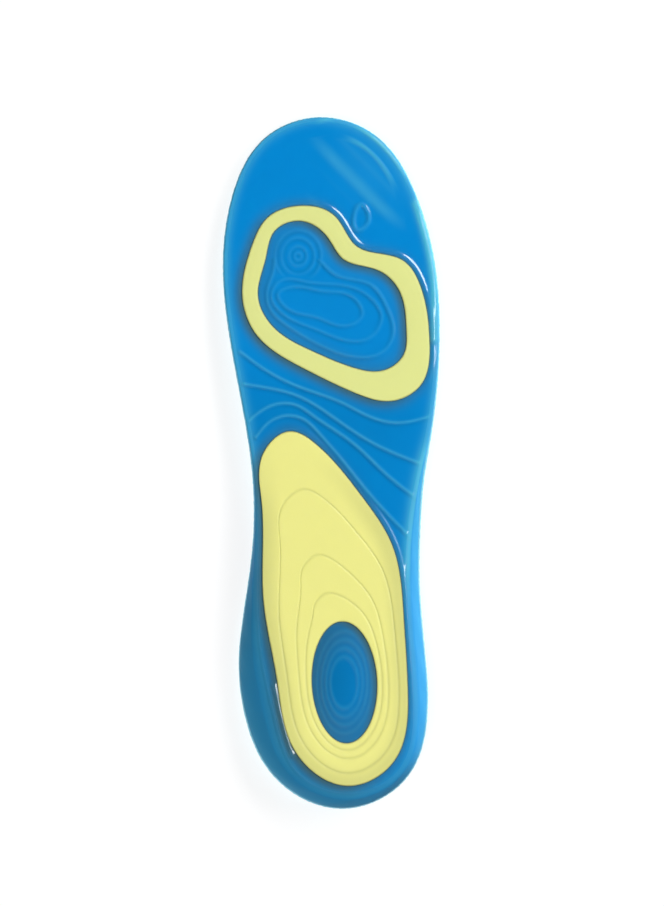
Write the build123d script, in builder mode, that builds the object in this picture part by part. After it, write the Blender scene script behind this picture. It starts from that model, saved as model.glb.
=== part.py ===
from build123d import *
import math
import os

# Cushioned gel insole for a left shoe, millimetres.
# +Z is the foot side, +Y runs to the toe, +X is the arch (inner) side.
# The origin lies under the middle of the outline, on the floor the two yellow pads rest on.

# ---- sizes ------------------------------------------------------------------------------------
LENGTH = 280.0  # heel to toe, over the rim
BALL_WIDTH = 88.0  # widest place, over the rim
HEEL_WIDTH = 75.4  # over the rim of the heel cup

COVER = 1.0  # brushed fabric
FILM = 0.2  # bonding film
FOREFOOT_HEIGHT = 5.0  # floor to foot side, under the toes
HEEL_HEIGHT = 8.0  # floor to foot side, middle of the heel
CUP_RISE = 5.0  # rim of the heel cup above its middle
ARCH_RISE = 7.0  # inner rim above the middle of the waist
OUTER_RISE = 2.6  # outer rim above the middle of the waist
BLANK_TOP = 19.0  # where the flare of the outer wall ends
WALL_BELLY = 5.5  # height at which the outer wall bulges most
BELLY_SHARE = 0.62  # how far out the wall is at that height

PAD_PROUD = 0.8  # both pads stand below the gel by this much
RING_THICKNESS = 2.4
SUPPORT_THICKNESS = 3.2
PAD_FIT = 0.25  # open line around each pad in its pocket
WINDOW_LENGTH = 49.2  # oval window of the heel pad
WINDOW_WIDTH = 26.4
WINDOW_LEAN = -2.5

GROOVE_WIDTH = 0.7
GROOVE_DEPTH = 0.3
CONTOUR_SHARES = (0.16, 0.36, 0.7)  # contour grooves of the heel pad, from window to outline
RIPPLES = 3  # ripples of the gel in the heel window
RIPPLE_PITCH = 2.6

FLEX_Y = 21.0  # where the flex line crosses the middle of the insole
FLEX_ANGLE = 21.0  # the flex line runs forward on the inner side
FLEX_GAP = 0.2

# ---- the pattern, drawn at its own size and graded to the sizes above ---------------------------
PATTERN_LENGTH = 280.0
PATTERN_BALL = 88.0
PATTERN_HEEL = 75.4

# rim x, rim y, sole x, sole y, from the toe down the inner side and back up the outer side
OUTLINE = (
    (5.0, 140.0, 5.0, 139.3),
    (28.0, 131.0, 27.5, 130.4),
    (40.6, 107.7, 40.0, 107.4),
    (44.3, 80.0, 43.6, 80.0),
    (40.7, 45.0, 39.9, 45.0),
    (35.6, 18.0, 34.8, 17.5),
    (32.0, -8.0, 31.2, -8.0),
    (31.7, -28.0, 30.9, -28.0),
    (34.6, -55.0, 31.4, -55.0),
    (37.0, -80.0, 29.5, -79.0),
    (34.6, -102.0, 24.5, -102.0),
    (24.0, -126.0, 15.5, -125.0),
    (-5.0, -140.0, -7.0, -134.6),
    (-31.0, -126.5, -28.6, -123.8),
    (-38.4, -100.0, -34.2, -98.0),
    (-37.2, -75.0, -32.6, -74.0),
    (-35.4, -45.0, -31.0, -45.0),
    (-37.6, -14.0, -33.8, -14.0),
    (-41.2, 14.0, -39.6, 14.0),
    (-43.7, 50.0, -43.0, 50.0),
    (-42.2, 78.0, -41.5, 78.0),
    (-34.5, 107.7, -33.9, 107.4),
    (-18.6, 131.9, -18.3, 131.3),
)
RING_OUTSIDE = (
    (13.0, 103.8),
    (26.5, 98.6),
    (32.1, 88.4),
    (36.1, 66.0),
    (31.2, 52.7),
    (11.2, 38.0),
    (-9.6, 28.1),
    (-24.1, 25.0),
    (-35.7, 31.3),
    (-39.3, 50.0),
    (-36.4, 69.1),
    (-28.1, 82.0),
    (-9.8, 87.5),
    (-1.2, 99.5),
)
RING_INSIDE = (
    (13.6, 97.7),
    (23.3, 93.4),
    (26.8, 82.7),
    (29.9, 67.1),
    (23.9, 55.0),
    (8.6, 45.4),
    (-9.1, 38.3),
    (-20.9, 37.4),
    (-29.0, 44.0),
    (-30.0, 53.9),
    (-27.4, 69.0),
    (-19.1, 77.5),
    (-4.4, 82.4),
    (1.9, 91.2),
)
SUPPORT_OUTSIDE = (
    (17.5, 12.7),
    (27.9, 3.6),
    (28.5, -15.0),
    (27.7, -55.2),
    (22.2, -87.9),
    (14.7, -116.7),
    (-6.8, -130.4),
    (-24.6, -121.0),
    (-30.6, -92.1),
    (-28.9, -61.8),
    (-24.0, -32.6),
    (-11.6, -13.0),
    (5.4, 6.6),
)
WINDOW_MIDDLE = (-5.0, -88.6)
# the ribs of the flexing waist, each from the inner edge to the outer edge
FRONT_RIB = ((35.0, 44.0), (22.0, 37.0), (7.5, 30.0), (-10.0, 20.6), (-26.0, 16.6), (-38.0, 20.0))
REAR_RIBS = (
    ((31.0, 28.0), (17.0, 26.2), (6.0, 21.6), (-10.0, 13.3), (-24.0, 5.2), (-34.5, 0.0)),
    ((28.0, 19.5), (14.0, 18.0), (-0.6, 13.3), (-13.0, 4.0), (-22.4, -3.6), (-32.5, -12.0)),
    ((-6.0, -0.6), (-12.5, -8.0), (-18.5, -15.8), (-30.0, -27.0)),
)
# the ripples of the gel inside the ring
BALL_LOOPS = (
    (
        (21.5, 68.2),
        (19.0, 63.5),
        (6.0, 59.0),
        (-6.0, 55.6),
        (-12.3, 59.5),
        (-8.5, 67.2),
        (4.0, 69.6),
        (17.0, 71.0),
    ),
    (
        (24.3, 68.0),
        (19.5, 60.3),
        (6.0, 54.0),
        (-6.3, 49.6),
        (-15.5, 50.8),
        (-20.2, 58.5),
        (-15.5, 67.0),
        (-4.0, 72.0),
        (10.0, 73.2),
        (20.5, 73.6),
    ),
    (
        (18.5, 83.5),
        (13.9, 78.6),
        (9.3, 83.5),
        (13.9, 89.0),
    ),
)

# heights across the insole, as (y, value) along the pattern
MIDDLE_HEIGHT = ((-50.0, HEEL_HEIGHT), (4.0, FOREFOOT_HEIGHT))
INNER_RISE = ((-98.0, CUP_RISE), (-38.0, ARCH_RISE), (30.0, 0.0))
OUTER_EDGE_RISE = ((-98.0, CUP_RISE), (-40.0, OUTER_RISE), (0.0, 0.0))
MIDDLE_LINE = ((-100.0, -1.8), (-60.0, 0.0), (-25.0, -2.2), (10.0, -3.0), (90.0, 1.7))
HALF_WIDTH = ((-100.0, 36.6), (-25.0, 33.9), (10.0, 37.5), (55.0, 43.0))
CUP_START = -98.0  # behind this the cup closes round the heel
CUP_LENGTH = 42.0
CUP_SHAPE = 3.0  # the higher, the flatter the middle and the steeper the rim
FOOT_REACH_ACROSS = 52.0  # the surface of the foot side is drawn this far past the middle
FOOT_START = -152.0
FOOT_END = 50.0
FOOT_STEPS_ACROSS = 20
FOOT_STEPS_ALONG = 36
FOOT_ROOM = 60.0  # height of the space above it


def between(stations, y):
    """Value at y, eased from one station to the next and level beyond the ends."""
    low = stations[0]
    for high in stations[1:]:
        if y <= high[0]:
            share = max(0.0, (y - low[0]) / (high[0] - low[0]))
            return low[1] + (high[1] - low[1]) * share * share * (3.0 - 2.0 * share)
        low = high
    return low[1]


def graded(x, y):
    """A pattern point at the size of the insole: length along, ball and heel width across."""
    share = 0.5 + y / PATTERN_LENGTH
    ball = BALL_WIDTH / PATTERN_BALL
    heel = HEEL_WIDTH / PATTERN_HEEL
    return (x * (heel + (ball - heel) * share), y * LENGTH / PATTERN_LENGTH)


def foot_height(x, y):
    """Height of the foot side over a pattern point: a level middle with a rising rim."""
    aside = (x - between(MIDDLE_LINE, y)) / between(HALF_WIDTH, y)
    behind = max(0.0, (CUP_START - y) / CUP_LENGTH)
    rise = between(INNER_RISE if aside > 0 else OUTER_EDGE_RISE, y)
    return between(MIDDLE_HEIGHT, y) + rise * math.hypot(aside, behind) ** CUP_SHAPE


def closed_face(points, height=0.0):
    """Face inside a smooth closed curve through pattern points."""
    with BuildSketch(Plane.XY.offset(height), mode=Mode.PRIVATE) as region:
        with BuildLine():
            Spline(*[graded(x, y) for x, y in points], periodic=True)
        make_face()
    return region.sketch


def window_face(grow):
    """Oval of the heel window, grown all round."""
    with BuildSketch(mode=Mode.PRIVATE) as region:
        with Locations(graded(*WINDOW_MIDDLE)):
            Ellipse(WINDOW_WIDTH / 2 + grow, WINDOW_LENGTH / 2 + grow, rotation=WINDOW_LEAN)
    return region.sketch


def grown(points, amount):
    """Points of a closed curve moved outwards (inwards when the amount is negative)."""
    moved = []
    for i in range(len(points)):
        before = points[i - 1]
        after = points[(i + 1) % len(points)]
        along = (after[0] - before[0], after[1] - before[1])
        step = amount / math.hypot(*along)
        moved.append((points[i][0] - along[1] * step, points[i][1] + along[0] * step))
    return moved


def band_face(outer, inner):
    """What is left of one face around another."""
    with BuildSketch(mode=Mode.PRIVATE) as region:
        add(outer)
        add(inner, mode=Mode.SUBTRACT)
    return region.sketch


def groove_round(points):
    """Groove just inside a smooth closed curve."""
    return band_face(closed_face(points), closed_face(grown(points, -GROOVE_WIDTH)))


def groove_along(line_points):
    """Groove along a smooth line through pattern points."""
    with BuildSketch(mode=Mode.PRIVATE) as region:
        with BuildLine():
            Spline(*[graded(x, y) for x, y in line_points])
        trace(line_width=GROOVE_WIDTH)
    return region.sketch


def contour_points(share):
    """Points between the window (share 0) and the outline (share 1) of the heel pad."""
    points = []
    for x, y in SUPPORT_OUTSIDE:
        aside = x - WINDOW_MIDDLE[0]
        along = y - WINDOW_MIDDLE[1]
        reach = 1 / math.hypot(2 * aside / WINDOW_WIDTH, 2 * along / WINDOW_LENGTH)
        scale = reach + (1 - reach) * share
        points.append((WINDOW_MIDDLE[0] + aside * scale, WINDOW_MIDDLE[1] + along * scale))
    return points


def above_foot(lowered):
    """Everything above the foot side of the rear half, lowered by a thickness of cover."""
    rows = []
    for i in range(FOOT_STEPS_ACROSS + 1):
        x = FOOT_REACH_ACROSS * (2 * i / FOOT_STEPS_ACROSS - 1)
        row = []
        for j in range(FOOT_STEPS_ALONG + 1):
            y = FOOT_START + (FOOT_END - FOOT_START) * j / FOOT_STEPS_ALONG
            row.append(Vector(*graded(x, y), foot_height(x, y) - lowered))
        rows.append(row)
    with BuildPart(mode=Mode.PRIVATE) as region:
        extrude(Face.make_surface_from_array_of_points(rows), amount=FOOT_ROOM, dir=(0, 0, 1))
    return region.part


def level(height):
    """Level plane at a height."""
    return Plane.XY.offset(height)


# ---- outer form of the front and rear halves, which meet on the flex line -----------------------
sole_points = [(row[2], row[3]) for row in OUTLINE]
rim_points = [(row[0], row[1]) for row in OUTLINE]
belly_points = [(c + (a - c) * BELLY_SHARE, d + (b - d) * BELLY_SHARE) for a, b, c, d in OUTLINE]
with BuildPart() as blank:
    add(closed_face(sole_points, PAD_PROUD))
    add(closed_face(belly_points, WALL_BELLY))
    add(closed_face(rim_points, BLANK_TOP))
    loft()

flex_line = Vector(math.cos(math.radians(FLEX_ANGLE)), math.sin(math.radians(FLEX_ANGLE)), 0)
forward = Vector(-flex_line.Y, flex_line.X, 0)
flex_middle = Vector(*graded(0.0, FLEX_Y), 0)
with BuildPart() as front_half:
    add(blank.part)
    split(bisect_by=Plane(flex_middle + forward * (FLEX_GAP / 2), x_dir=flex_line, z_dir=forward))

with BuildPart() as rear_half:
    add(blank.part)
    split(bisect_by=Plane(flex_middle - forward * (FLEX_GAP / 2), x_dir=flex_line, z_dir=-forward))

film_lowered = COVER + FILM
above_rear_film = above_foot(COVER)
above_rear_gel = above_foot(film_lowered)

# ---- forefoot ring -------------------------------------------------------------------------------
with BuildPart() as forefoot_ring:
    extrude(band_face(closed_face(RING_OUTSIDE), closed_face(RING_INSIDE)), amount=RING_THICKNESS)

# ---- heel and arch support -----------------------------------------------------------------------
with BuildPart() as heel_support:
    extrude(band_face(closed_face(SUPPORT_OUTSIDE), window_face(0.0)), amount=SUPPORT_THICKNESS)
    for share in CONTOUR_SHARES:
        extrude(groove_round(contour_points(share)), amount=GROOVE_DEPTH, mode=Mode.SUBTRACT)

# ---- gel base, front half ------------------------------------------------------------------------
ring_pocket = band_face(
    closed_face(grown(RING_OUTSIDE, PAD_FIT)),
    closed_face(grown(RING_INSIDE, -PAD_FIT)),
)
with BuildPart() as gel_front:
    add(front_half.part)
    split(bisect_by=level(FOREFOOT_HEIGHT - film_lowered), keep=Keep.BOTTOM)
    extrude(ring_pocket, amount=RING_THICKNESS, mode=Mode.SUBTRACT)
    extrude(groove_along(FRONT_RIB), amount=PAD_PROUD + GROOVE_DEPTH, mode=Mode.SUBTRACT)
    for loop in BALL_LOOPS:
        extrude(groove_round(loop), amount=PAD_PROUD + GROOVE_DEPTH, mode=Mode.SUBTRACT)

# ---- gel base, rear half -------------------------------------------------------------------------
support_pocket = band_face(closed_face(grown(SUPPORT_OUTSIDE, PAD_FIT)), window_face(-PAD_FIT))
with BuildPart() as gel_rear:
    add(rear_half.part)
    add(above_rear_gel, mode=Mode.SUBTRACT)
    extrude(support_pocket, amount=SUPPORT_THICKNESS, mode=Mode.SUBTRACT)
    for rib in REAR_RIBS:
        extrude(groove_along(rib), amount=PAD_PROUD + GROOVE_DEPTH, mode=Mode.SUBTRACT)
    for step in range(1, RIPPLES + 1):
        edge = window_face(-step * RIPPLE_PITCH)
        ripple = band_face(edge, window_face(-step * RIPPLE_PITCH - GROOVE_WIDTH))
        extrude(ripple, amount=PAD_PROUD + GROOVE_DEPTH, mode=Mode.SUBTRACT)

# ---- bonding film ----------------------------------------------------------------------------------
with BuildPart() as film_front:
    add(front_half.part)
    split(bisect_by=level(FOREFOOT_HEIGHT - film_lowered), keep=Keep.TOP)
    split(bisect_by=level(FOREFOOT_HEIGHT - COVER), keep=Keep.BOTTOM)

with BuildPart() as film_rear:
    add(rear_half.part)
    add(above_rear_gel, mode=Mode.INTERSECT)
    add(above_rear_film, mode=Mode.SUBTRACT)

# ---- fabric cover ----------------------------------------------------------------------------------
with BuildPart() as cover_front:
    add(front_half.part)
    split(bisect_by=level(FOREFOOT_HEIGHT - COVER), keep=Keep.TOP)
    split(bisect_by=level(FOREFOOT_HEIGHT), keep=Keep.BOTTOM)

with BuildPart() as cover_rear:
    add(rear_half.part)
    add(above_rear_film, mode=Mode.INTERSECT)
    add(above_foot(0.0), mode=Mode.SUBTRACT)

# ---- export ----------------------------------------------------------------------------------------
PIECES = {
    "forefoot_ring": forefoot_ring.part,
    "heel_arch_support": heel_support.part,
    "gel_base_front": gel_front.part,
    "gel_base_rear": gel_rear.part,
    "bonding_film_front": film_front.part,
    "bonding_film_rear": film_rear.part,
    "top_cover_front": cover_front.part,
    "top_cover_rear": cover_rear.part,
}
os.makedirs("parts", exist_ok=True)
for piece_name, piece in PIECES.items():
    piece.label = piece_name
    export_step(piece, f"parts/{piece_name}.step")
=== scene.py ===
"""Looks of a cushioned gel insole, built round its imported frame.

The frame's +Z is the foot side, +Y runs to the toe and +X is the arch side. All shapes are worked out
in millimetres and become metres when they enter a mesh.
"""
import sys
import logging
import math
from dataclasses import dataclass, field
from enum import Enum
from typing import Callable, Sequence

import bpy
import numpy as np
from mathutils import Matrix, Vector


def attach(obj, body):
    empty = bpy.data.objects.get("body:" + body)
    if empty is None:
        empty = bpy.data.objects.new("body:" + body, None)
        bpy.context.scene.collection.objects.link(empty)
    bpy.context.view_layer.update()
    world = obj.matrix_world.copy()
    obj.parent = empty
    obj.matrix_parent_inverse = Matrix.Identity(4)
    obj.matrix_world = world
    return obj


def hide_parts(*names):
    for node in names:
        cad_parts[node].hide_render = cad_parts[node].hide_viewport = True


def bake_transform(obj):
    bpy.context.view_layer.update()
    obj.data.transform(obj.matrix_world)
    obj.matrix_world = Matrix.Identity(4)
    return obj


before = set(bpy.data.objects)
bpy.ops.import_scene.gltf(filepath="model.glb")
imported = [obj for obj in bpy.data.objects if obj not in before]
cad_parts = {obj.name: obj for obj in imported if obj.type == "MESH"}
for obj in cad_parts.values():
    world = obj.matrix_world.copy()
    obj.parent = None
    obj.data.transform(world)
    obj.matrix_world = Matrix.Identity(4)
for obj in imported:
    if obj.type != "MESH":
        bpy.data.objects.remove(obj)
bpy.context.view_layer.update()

LOG = logging.getLogger("insole")
MM = 0.001
Array = np.ndarray

# ---- the drawing, in millimetres ----
# rim x, rim y, sole x, sole y, from the toe down the inner side and back up the outer side
OUTLINE = np.array([
    (5.0, 140.0, 5.0, 139.3), (28.0, 131.0, 27.5, 130.4), (40.6, 107.7, 40.0, 107.4),
    (44.3, 80.0, 43.6, 80.0), (40.7, 45.0, 39.9, 45.0), (35.6, 18.0, 34.8, 17.5),
    (32.0, -8.0, 31.2, -8.0), (31.7, -28.0, 30.9, -28.0), (34.6, -55.0, 31.4, -55.0),
    (37.0, -80.0, 29.5, -79.0), (34.6, -102.0, 24.5, -102.0), (24.0, -126.0, 15.5, -125.0),
    (-5.0, -140.0, -7.0, -134.6), (-31.0, -126.5, -28.6, -123.8), (-38.4, -100.0, -34.2, -98.0),
    (-37.2, -75.0, -32.6, -74.0), (-35.4, -45.0, -31.0, -45.0), (-37.6, -14.0, -33.8, -14.0),
    (-41.2, 14.0, -39.6, 14.0), (-43.7, 50.0, -43.0, 50.0), (-42.2, 78.0, -41.5, 78.0),
    (-34.5, 107.7, -33.9, 107.4), (-18.6, 131.9, -18.3, 131.3),
])
RING_OUTSIDE = (
    (13.0, 103.8), (26.5, 98.6), (32.1, 88.4), (36.1, 66.0), (31.2, 52.7), (11.2, 38.0), (-9.6, 28.1),
    (-24.1, 25.0), (-35.7, 31.3), (-39.3, 50.0), (-36.4, 69.1), (-28.1, 82.0), (-9.8, 87.5),
    (-1.2, 99.5),
)
RING_INSIDE = (
    (13.6, 97.7), (23.3, 93.4), (26.8, 82.7), (29.9, 67.1), (23.9, 55.0), (8.6, 45.4), (-9.1, 38.3),
    (-20.9, 37.4), (-29.0, 44.0), (-30.0, 53.9), (-27.4, 69.0), (-19.1, 77.5), (-4.4, 82.4),
    (1.9, 91.2),
)
SUPPORT_OUTSIDE = (
    (17.5, 12.7), (27.9, 3.6), (28.5, -15.0), (27.7, -55.2), (22.2, -87.9), (14.7, -116.7),
    (-6.8, -130.4), (-24.6, -121.0), (-30.6, -92.1), (-28.9, -61.8), (-24.0, -32.6), (-11.6, -13.0),
    (5.4, 6.6),
)
WINDOW_MIDDLE = np.array((-5.0, -88.6))
WINDOW_HALF = np.array((13.2, 24.6))
WINDOW_LEAN = math.radians(-2.5)
BALL_LOOPS = (
    (
        (21.5, 68.2), (19.0, 63.5), (6.0, 59.0), (-6.0, 55.6), (-12.3, 59.5), (-8.5, 67.2), (4.0, 69.6),
        (17.0, 71.0),
    ),
    (
        (24.3, 68.0), (19.5, 60.3), (6.0, 54.0), (-6.3, 49.6), (-15.5, 50.8), (-20.2, 58.5), (-15.5, 67.0),
        (-4.0, 72.0), (10.0, 73.2), (20.5, 73.6),
    ),
)
BALL_EDGE = (
    (4.8, 81.9), (-2.2, 75.9), (-15.3, 72.3), (-22.4, 62.7), (-24.6, 51.0), (-20.4, 44.8),
    (-12.3, 42.8), (2.8, 46.8), (18.0, 55.7), (25.0, 62.7), (26.0, 70.0), (23.8, 76.5), (23.0, 81.9),
)
EYE_MIDDLE = (13.6, 83.5)
EYE_RADII = (1.4, 3.6, 6.7, 9.4)
WAIST_RIBS = (
    ((37.0, 45.0), (28.0, 38.5), (14.9, 31.5), (-4.2, 24.4), (-16.3, 18.4), (-26.4, 16.3), (-40.0, 19.0),),
    ((35.5, 32.0), (26.0, 30.4), (14.9, 27.6), (-2.2, 17.4), (-16.3, 8.3), (-37.2, -0.6),),
    ((33.5, 17.0), (28.0, 21.4), (22.0, 23.9), (14.9, 23.6), (7.0, 18.8), (-8.3, 8.3), (-22.4, -4.8),
     (-34.2, -14.0),),
    ((30.6, 10.5), (24.8, 16.8), (18.0, 19.2), (11.9, 18.0), (4.8, 11.6), (-2.2, 3.6), (-14.3, -11.4),
     (-31.8, -30.0),),
)
# BALL_GLINT: a line of painted highlight, paler gel on a low ridge along the ball's outer edge
BALL_GLINT = ((-33.8, 104.5), (-37.6, 91.5), (-40.4, 78.0), (-41.2, 64.0), (-40.9, 50.0))
TOE_DROP = ((-12.0, 104.4), (-9.0, 99.5), (-10.4, 94.0), (-13.0, 95.0), (-14.8, 100.5))
# EDGE_SHINE: a line of painted highlight, paler gel on a low ridge inside the heel
EDGE_SHINE = ((23.4, -90.0), (20.3, -103.0), (16.2, -118.0))

# heights, as (y, value)
MIDDLE_HEIGHT = ((-50.0, 8.0), (4.0, 5.0))
INNER_RISE = ((-98.0, 5.0), (-38.0, 7.0), (30.0, 0.0))
OUTER_RISE = ((-98.0, 5.0), (-40.0, 2.6), (0.0, 0.0))
MIDDLE_LINE = ((-100.0, -1.8), (-60.0, 0.0), (-25.0, -2.2), (10.0, -3.0), (90.0, 1.7))
HALF_WIDTH = ((-100.0, 36.6), (-25.0, 33.9), (10.0, 37.5), (55.0, 43.0))
CUP_START = -98.0
CUP_LENGTH = 42.0
CUP_SHAPE = 3.0
SOLE = 0.8
COVER = 1.0
FILM = 0.2
# painted shadow and painted shade go on the side away from this direction
TO_LIGHT = np.array((-0.80, 0.60))  # across the sole, towards the brightest light


# ---- curves ----
class SmoothCurve:
    """A cubic spline through points, closed or open, with chord lengths as its parameter."""

    def __init__(self, points: Sequence[Sequence[float]] | Array, closed: bool = True) -> None:
        """Works out the second derivatives that make the curve smooth.

        Args:
            points: the points, (n, 2).
            closed: whether the last point joins the first.
        """
        self.points = np.asarray(points, float)
        self.closed = closed
        n = len(self.points)
        ahead = np.roll(self.points, -1, axis=0)
        self.chord = np.linalg.norm(ahead - self.points, axis=1)
        before = np.roll(self.chord, 1)
        k = np.arange(n)
        matrix = np.zeros((n, n))
        matrix[k, k] = 2 * (before + self.chord)
        matrix[k, (k - 1) % n] += before
        matrix[k, (k + 1) % n] += self.chord
        slope = (ahead - self.points) / self.chord[:, None]
        right = 6 * (slope - np.roll(slope, 1, axis=0))
        if not closed:
            matrix[[0, -1]] = 0
            matrix[0, 0] = matrix[-1, -1] = 1
            right[[0, -1]] = 0
        self.curl = np.linalg.solve(matrix, right)

    def at(self, place: Array) -> Array:
        """Points of the curve.

        Args:
            place: where, counted in points from the first (1.5 is half way from the second to the third).

        Returns:
            The points, (len(place), 2).
        """
        n = len(self.points)
        i = np.floor(place).astype(int)
        if not self.closed:
            i = np.minimum(i, n - 2)
        share = (place - i)[:, None]
        i, j = i % n, (i + 1) % n
        h = self.chord[i][:, None]
        x = share * h
        rest = h - x
        bend = (self.curl[i] * rest**3 + self.curl[j] * x**3) / (6 * h)
        line = (self.points[i] / h - self.curl[i] * h / 6) * rest
        return bend + line + (self.points[j] / h - self.curl[j] * h / 6) * x

    def places(self, start: float, end: float, cells: int) -> Array:
        """Places from start to end that lie evenly along the curve.

        Args:
            start: first place.
            end: last place, which may be the smaller one.
            cells: how many steps to take.

        Returns:
            The cells + 1 places.
        """
        fine = np.linspace(start, end, 60 * cells + 1)
        steps = np.linalg.norm(np.diff(self.at(fine), axis=0), axis=1)
        run = np.concatenate(([0.0], np.cumsum(steps)))
        return np.interp(np.linspace(0, run[-1], cells + 1), run, fine)

    def sampled(self, spacing: float = 0.6) -> Array:
        """Points evenly along the whole curve, about the spacing apart."""
        end = len(self.points) - (0 if self.closed else 1)
        cells = max(8, int(self.chord.sum() / spacing))
        return self.at(self.places(0.0, end, cells))


def eased(stations: Sequence[tuple[float, float]], y: Array) -> Array:
    """Value at y: eased with 3s^2 - 2s^3 from each station to the next, level beyond the ends."""
    value = np.full_like(y, stations[0][1])
    for (y0, v0), (y1, v1) in zip(stations, stations[1:]):
        value = value + (v1 - v0) * ramp(y, y0, y1)
    return value


def ramp(value: Array, low: float, high: float) -> Array:
    """0 below low, 1 above high, eased between them."""
    s = np.clip((value - low) / (high - low), 0, 1)
    return s * s * (3 - 2 * s)


def ridge(distance: Array, width: float) -> Array:
    """Bell curve, 1 on the line and nearly 0 at twice the width."""
    return np.exp(-((distance / width) ** 2))


def nearest(xy: Array, line: Array, reach: float = 8.0) -> tuple[Array, Array]:
    """Distance and direction of points from a line of short straight runs.

    The nearest run's end is found first, then the point is dropped onto the two runs that meet there.

    Args:
        xy: the points, (n, 2).
        line: the ends of the runs, (m, 2).
        reach: points farther than this from the line's box just get the reach and no direction.

    Returns:
        The distances, (n,), none above the reach, and the directions from the line, (n, 2).
    """
    distance, way = np.full(len(xy), reach), np.zeros((len(xy), 2))
    near = np.all((xy > line.min(0) - reach) & (xy < line.max(0) + reach), axis=1)
    p = xy[near].astype(np.float32)
    if not len(p):
        return distance, way
    q = line.astype(np.float32)
    squares = (p[:, None, 0] - q[None, :, 0]) ** 2 + (p[:, None, 1] - q[None, :, 1]) ** 2
    k = np.clip(squares.argmin(1), 1, len(line) - 2)
    best, off = np.full(len(p), np.inf), np.zeros((len(p), 2))
    for first, second in ((k - 1, k), (k, k + 1)):
        a, b = line[first], line[second]
        run = b - a
        share = np.clip(((p - a) * run).sum(1) / np.maximum((run**2).sum(1), 1e-12), 0, 1)
        from_run = p - a - run * share[:, None]
        length = np.linalg.norm(from_run, axis=1)
        off = np.where((length < best)[:, None], from_run, off)
        best = np.minimum(best, length)
    distance[near] = np.minimum(best, reach)
    way[near] = off / np.maximum(best, 1e-9)[:, None]
    return distance, way


def distance_to(xy: Array, line: Array, reach: float = 8.0) -> Array:
    """Distance of points from a line, none above the reach."""
    return nearest(xy, line, reach)[0]


def inside(xy: Array, loop: Array) -> Array:
    """Whether points lie inside a closed loop: a ray from each crosses it an odd number of times."""
    x, y = xy[:, 0][:, None], xy[:, 1][:, None]
    a, b = loop, np.roll(loop, -1, axis=0)
    rise = np.where(np.abs(b[:, 1] - a[:, 1]) < 1e-12, 1e-12, b[:, 1] - a[:, 1])
    spans = (a[None, :, 1] > y) != (b[None, :, 1] > y)
    crossing = (b[:, 0] - a[:, 0])[None] * (y - a[None, :, 1]) / rise[None] + a[None, :, 0]
    return ((spans & (x < crossing)).sum(1) % 2) == 1


def oval(middle: Sequence[float], half: Sequence[float], lean: float, count: int = 160) -> Array:
    """Points round an ellipse turned by lean, closed on itself."""
    turn = np.linspace(0, 2 * math.pi, count + 1)
    x, y = half[0] * np.cos(turn), half[1] * np.sin(turn)
    c, s = math.cos(lean), math.sin(lean)
    return np.stack((middle[0] + c * x - s * y, middle[1] + s * x + c * y), axis=1)


# ---- the insole's own surfaces ----
def foot_height(xy: Array) -> Array:
    """Height of the foot side.

    A level middle plus a rise towards the rim: the rise is the cube of how far out the point lies,
    counted in half widths across and, behind the heel, in cup lengths along.
    """
    x, y = xy[..., 0], xy[..., 1]
    aside = (x - eased(MIDDLE_LINE, y)) / eased(HALF_WIDTH, y)
    behind = np.maximum(0, (CUP_START - y) / CUP_LENGTH)
    rise = np.where(aside > 0, eased(INNER_RISE, y), eased(OUTER_RISE, y))
    return eased(MIDDLE_HEIGHT, y) + rise * np.hypot(aside, behind) ** CUP_SHAPE


def wall_share(height: Array) -> Array:
    """How far out the side wall stands at a height: 0 on the sole's outline, 1 on the rim's.

    A parabola that has covered 0.62 of the way 4.7 mm above the sole, so the wall is bowl-shaped.
    """
    up = np.clip(height - SOLE, 0, 12.5)
    return 0.1587 * up - 0.005702 * up**2


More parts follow.
